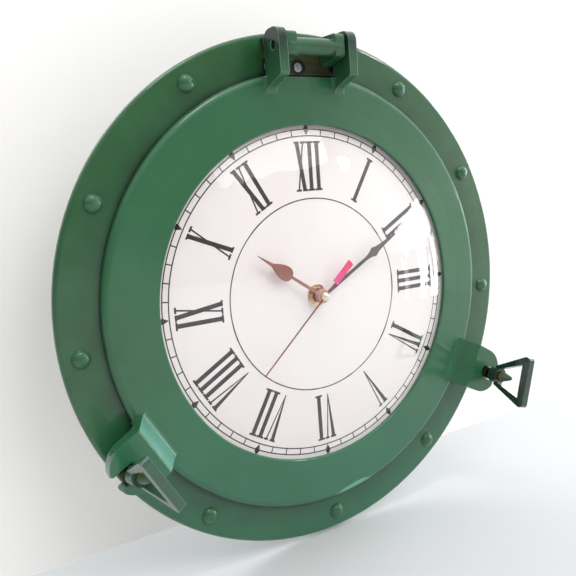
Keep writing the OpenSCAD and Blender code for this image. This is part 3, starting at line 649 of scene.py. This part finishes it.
def numeral(word):
    """The strokes of one numeral as outlines of (across, up) points, in mm."""
    total = sum(WIDTHS[letter] for letter in word)
    left = -total / 2
    strokes = []

    def bar(x, up, width, tall=SERIF_T):
        strokes.append([(x - width / 2, up), (x + width / 2, up),
                        (x + width / 2, up + tall), (x - width / 2, up + tall)])

    def leg(x0, x1, width, foot=FOOT, head=HEAD):
        strokes.append([(x0 - width / 2, foot), (x0 + width / 2, foot),
                        (x1 + width / 2, head), (x1 - width / 2, head)])

    for letter in word:
        mid = left + WIDTHS[letter] / 2
        if letter == "I":
            leg(mid, mid, THICK)
            bar(mid, FOOT, SERIF)
            bar(mid, HEAD - SERIF_T, SERIF)
        elif letter == "V":
            strokes.append([(mid - 0.25, FOOT), (mid + 0.25, FOOT),
                            (mid - 1.15, HEAD), (mid - 1.15 - THICK, HEAD)])
            strokes.append([(mid - 0.25, FOOT), (mid + 0.25, FOOT),
                            (mid + 2.55, HEAD), (mid + 2.55 - THIN, HEAD)])
            bar(mid - 2.3, HEAD - SERIF_T, 3.9)
            bar(mid + 2.25, HEAD - SERIF_T, 2.9)
        else:
            leg(mid + 2.0, mid - 2.0, THICK)
            leg(mid - 2.3, mid + 2.3, THIN)
            for up in (FOOT, HEAD - SERIF_T):
                bar(mid - 2.15, up, 3.5)
                bar(mid + 2.15, up, 3.5)
        left += WIDTHS[letter]
    return strokes


# Each stroke lies a little above the one before it, so that crossing strokes don't flicker
LAYER = 0.0012


def draw_numeral(word, clockwise):
    def build(work):
        out = at(1, clockwise) - at(0, clockwise)
        along = at(1, clockwise + 90) - at(0, clockwise + 90)
        origin = at(0, 0, INK_PROUD)
        for layer, stroke in enumerate(numeral(word)):
            lift = Vector((0, -LAYER * MM * layer, 0))
            slab(work, [origin + lift + along * x + out * up for x, up in stroke])
    return build


WORDS = ["XII", "I", "II", "III", "IV", "V", "VI", "VII", "VIII", "IX", "X", "XI"]
for hour, word in enumerate(WORDS):
    name = f"numeral_{hour or 12}"
    fill(piece(name, "case", DIAL_INK), draw_numeral(word, hour * 30))


def thread(work, pin, along, start, end, root, crest, pitch=0.001, steps=28):
    """A helical ridge round a bolt, from start to end along it."""
    side = along.orthogonal().normalized()
    other = along.cross(side)
    turns = (end - start) / pitch
    rings = []
    for i in range(int(turns * steps) + 1):
        turn = 2 * math.pi * i / steps
        fade = min(1.0, i / steps, (turns * steps - i) / steps)
        height = start + pitch * i / steps
        out = side * math.cos(turn) + other * math.sin(turn)
        top = root + (crest - root) * max(fade, 0.02)
        rings.append([work.verts.new(pin + along * (height + up) + out * r)
                      for up, r in ((-0.4 * pitch, root), (0, top), (0.4 * pitch, root))])
    for low, high in zip(rings, rings[1:]):
        for i, j in ((0, 1), (1, 2), (2, 0)):
            work.faces.new((low[i], low[j], high[j], high[i]))
    work.faces.new(rings[0])
    work.faces.new(list(reversed(rings[-1])))


# A bolt's thread, in metres from its pin and from its axis
THREAD_FROM = 0.0156
THREAD_TO = 0.0192
THREAD_ROOT = 0.0027
THREAD_CREST = 0.0031
for side in ("right", "left"):
    joint = JOINTS[f"nut_spin_{side}"]
    pin = Vector(joint["pos_m"])
    along = Vector(joint["axis"])
    finish = NODES[f"swing_bolt_{side}"].data.materials[0]
    made = piece(f"thread_{side}", f"bolt_{side}", finish)
    fill(made, lambda work: thread(work, pin, along, THREAD_FROM, THREAD_TO,
                                   THREAD_ROOT, THREAD_CREST))


# ---------------------------------------------------------------- stage, light and camera


def flat_white(name, base, scale):
    m = Nodes(name)
    colour = m.mix(m.noise(scale, 4), base, tuple(c * 0.96 for c in base))
    m.set(Base_Color=colour, Roughness=0.7, Normal=m.bump(m.noise(scale * 40, 4), 0.15, 0.0005))
    return m.material


def sheet(name, corners, material):
    """A flat four-cornered piece of the stage."""
    mesh = bpy.data.meshes.new(name)
    mesh.from_pydata(corners, [], [(0, 1, 2, 3)])
    made = bpy.data.objects.new(name, mesh)
    bpy.context.scene.collection.objects.link(made)
    made.data.materials.append(material)
    return made


def wall_paint():
    """White from the front and clear from behind, so that the wall doesn't hide the back."""
    m = Nodes("wall_white")
    colour = m.mix(m.noise(2, 3), (0.97, 0.935, 0.93), (0.93, 0.90, 0.89))
    m.set(Base_Color=colour, Roughness=0.8)
    m.set(Emission_Color=(0.98, 0.95, 0.94), Emission_Strength=0.12)
    clear = m.tree.nodes.new("ShaderNodeBsdfTransparent")
    side = m.tree.nodes.new("ShaderNodeNewGeometry")
    either = m.tree.nodes.new("ShaderNodeMixShader")
    m.join(side.outputs["Backfacing"], either.inputs[0])
    m.join(m.shader.outputs["BSDF"], either.inputs[1])
    m.join(clear.outputs["BSDF"], either.inputs[2])
    m.join(either.outputs["Shader"], m.out.inputs["Surface"])
    return m.material


lo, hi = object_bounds()
REACH = 6.0
FLOOR_Z = lo.z - 0.0012
WALL_Y = 0.045
sheet("floor", [(-REACH, -REACH, FLOOR_Z), (REACH, -REACH, FLOOR_Z),
                (REACH, REACH, FLOOR_Z), (-REACH, REACH, FLOOR_Z)],
      flat_white("floor_white", (0.61, 0.61, 0.625), 3))

# A wall a little behind the clock, seen by the camera only
wall = sheet("wall", [(-REACH, WALL_Y, FLOOR_Z), (REACH, WALL_Y, FLOOR_Z),
                      (REACH, WALL_Y, REACH), (-REACH, WALL_Y, REACH)], wall_paint())
wall.visible_diffuse = False
wall.visible_glossy = False
wall.visible_transmission = False
wall.visible_shadow = False


def area_light(name, place, target, size, power, colour=(1, 1, 1), mirrored=True):
    """A soft lamp aimed at a point; one that isn't mirrored leaves no image on the glass."""
    lamp = bpy.data.lights.new(name, "AREA")
    lamp.shape = "RECTANGLE"
    lamp.size, lamp.size_y = size
    lamp.energy = power
    lamp.color = colour
    made = bpy.data.objects.new(name, lamp)
    bpy.context.scene.collection.objects.link(made)
    made.location = place
    made.visible_glossy = mirrored
    aim = Vector(target) - Vector(place)
    made.rotation_mode = "QUATERNION"
    made.rotation_quaternion = aim.to_track_quat("-Z", "Y")
    return made


middle = Vector((AXIS_X, DIAL_Y, AXIS_Z))
area_light("key", (0.7, -1.7, 1.5), middle, (1.6, 1.2), 21, mirrored=False)
area_light("fill", (-1.3, -1.4, 0.7), middle, (1.2, 1.2), 3, (1.0, 1.0, 0.96), mirrored=False)
area_light("side", (1.83, 0.80, -0.06), middle, (0.9, 1.5), 26, (0.93, 1.0, 1.0))
area_light("back", (-0.4, 1.8, 1.5), middle, (1.8, 1.2), 11)
area_light("lamp", (1.044, -0.96, 0.57), middle, (0.09, 0.09), 1.0)
area_light("top", (-0.1, -0.55, 1.7), middle, (0.9, 0.25), 6)

# The studio's window, mirrored on the right of the dome: an upper light over three bars, in a
# vertical plane to the right of the clock. Outlines are in metres along the window and up.
WINDOW_AT = Vector((0.62, -0.26, 0))
WINDOW_ALONG = Vector((0.5, 0.85, 0)).normalized()
UPPER_GLOW = 9
UPPER_LIGHT = [(-0.11, -0.03), (0.055, 0.05), (0.13, -0.035), (0.05, -0.075)]
BAR_TOP = -0.06
BAR_FOOT = -0.24
BARS = [(3, -0.07, -0.055), (13, 0.02, 0.05), (8, 0.095, 0.13)]
PANES = [(UPPER_GLOW, UPPER_LIGHT)]
for strength, near, far in BARS:
    PANES.append((strength, [(near, BAR_TOP), (far, BAR_TOP), (far, BAR_FOOT), (near, BAR_FOOT)]))


def glow(name, strength):
    made = bpy.data.materials.new(name)
    made.use_nodes = True
    nodes = made.node_tree.nodes
    nodes.clear()
    shine = nodes.new("ShaderNodeEmission")
    shine.inputs["Strength"].default_value = strength
    ending = nodes.new("ShaderNodeOutputMaterial")
    made.node_tree.links.new(shine.outputs[0], ending.inputs["Surface"])
    return made


for number, (strength, outline) in enumerate(PANES):
    corners = [WINDOW_AT + WINDOW_ALONG * along + Vector((0, 0, up)) for along, up in outline]
    pane = sheet(f"pane_{number}", corners, glow(f"window_glow_{number}", strength))
    pane.visible_camera = False
    pane.visible_diffuse = False
    pane.visible_shadow = False

# The rest of the studio: dim in front, bright to the right and overhead; white to the camera
world = bpy.data.worlds.new("studio")
bpy.context.scene.world = world
world.use_nodes = True
tree = world.node_tree
tree.nodes.clear()


def room(kind, **inputs):
    node = tree.nodes.new(kind)
    for name, value in inputs.items():
        socket = node.inputs[name.replace("_", " ")]
        if isinstance(value, bpy.types.NodeSocket):
            tree.links.new(value, socket)
        else:
            socket.default_value = value
    return node


way = room("ShaderNodeSeparateXYZ", Vector=room("ShaderNodeTexCoord").outputs["Generated"])


def rise(axis, low, high, amount):
    step = room("ShaderNodeMapRange", Value=way.outputs[axis], From_Min=low, From_Max=high,
                To_Max=amount)
    step.interpolation_type = "SMOOTHSTEP"
    return step.outputs["Result"]


def total(a, b):
    node = tree.nodes.new("ShaderNodeMath")
    for socket, value in zip(node.inputs, (a, b)):
        if isinstance(value, bpy.types.NodeSocket):
            tree.links.new(value, socket)
        else:
            socket.default_value = value
    return node.outputs[0]


light = total(total(0.20, rise("X", 0.35, 0.9, 1.1)),
              total(rise("Z", 0.25, 0.9, 0.7), rise("Y", -0.1, 0.6, 0.4)))
dim = room("ShaderNodeBackground", Color=(0.96, 1.0, 0.99, 1.0), Strength=light)
white = room("ShaderNodeBackground", Color=(0.955, 0.95, 0.95, 1.0), Strength=1.0)
seen = room("ShaderNodeLightPath").outputs["Is Camera Ray"]
either = room("ShaderNodeMixShader", Fac=seen)
tree.links.new(dim.outputs[0], either.inputs[1])
tree.links.new(white.outputs[0], either.inputs[2])
tree.links.new(either.outputs[0], tree.nodes.new("ShaderNodeOutputWorld").inputs["Surface"])

scene = bpy.context.scene
scene.view_settings.view_transform = "Standard"

camera_data = bpy.data.cameras.new("camera")
camera_data.lens = 40.4
camera_data.sensor_width = 36
camera = bpy.data.objects.new("camera", camera_data)
scene.collection.objects.link(camera)
scene.camera = camera
right = Vector((0.8572, -0.5095, -0.0747)).normalized()
forward = Vector((0.4955, 0.8557, -0.1494)).normalized()
up = right.cross(forward).normalized()
turn = Matrix((right, up, -forward)).transposed().to_4x4()
turn.translation = Vector((AXIS_X - 0.20796, -0.3507, AXIS_Z + 0.06381))
camera.matrix_world = turn
camera_data.clip_start = 0.01
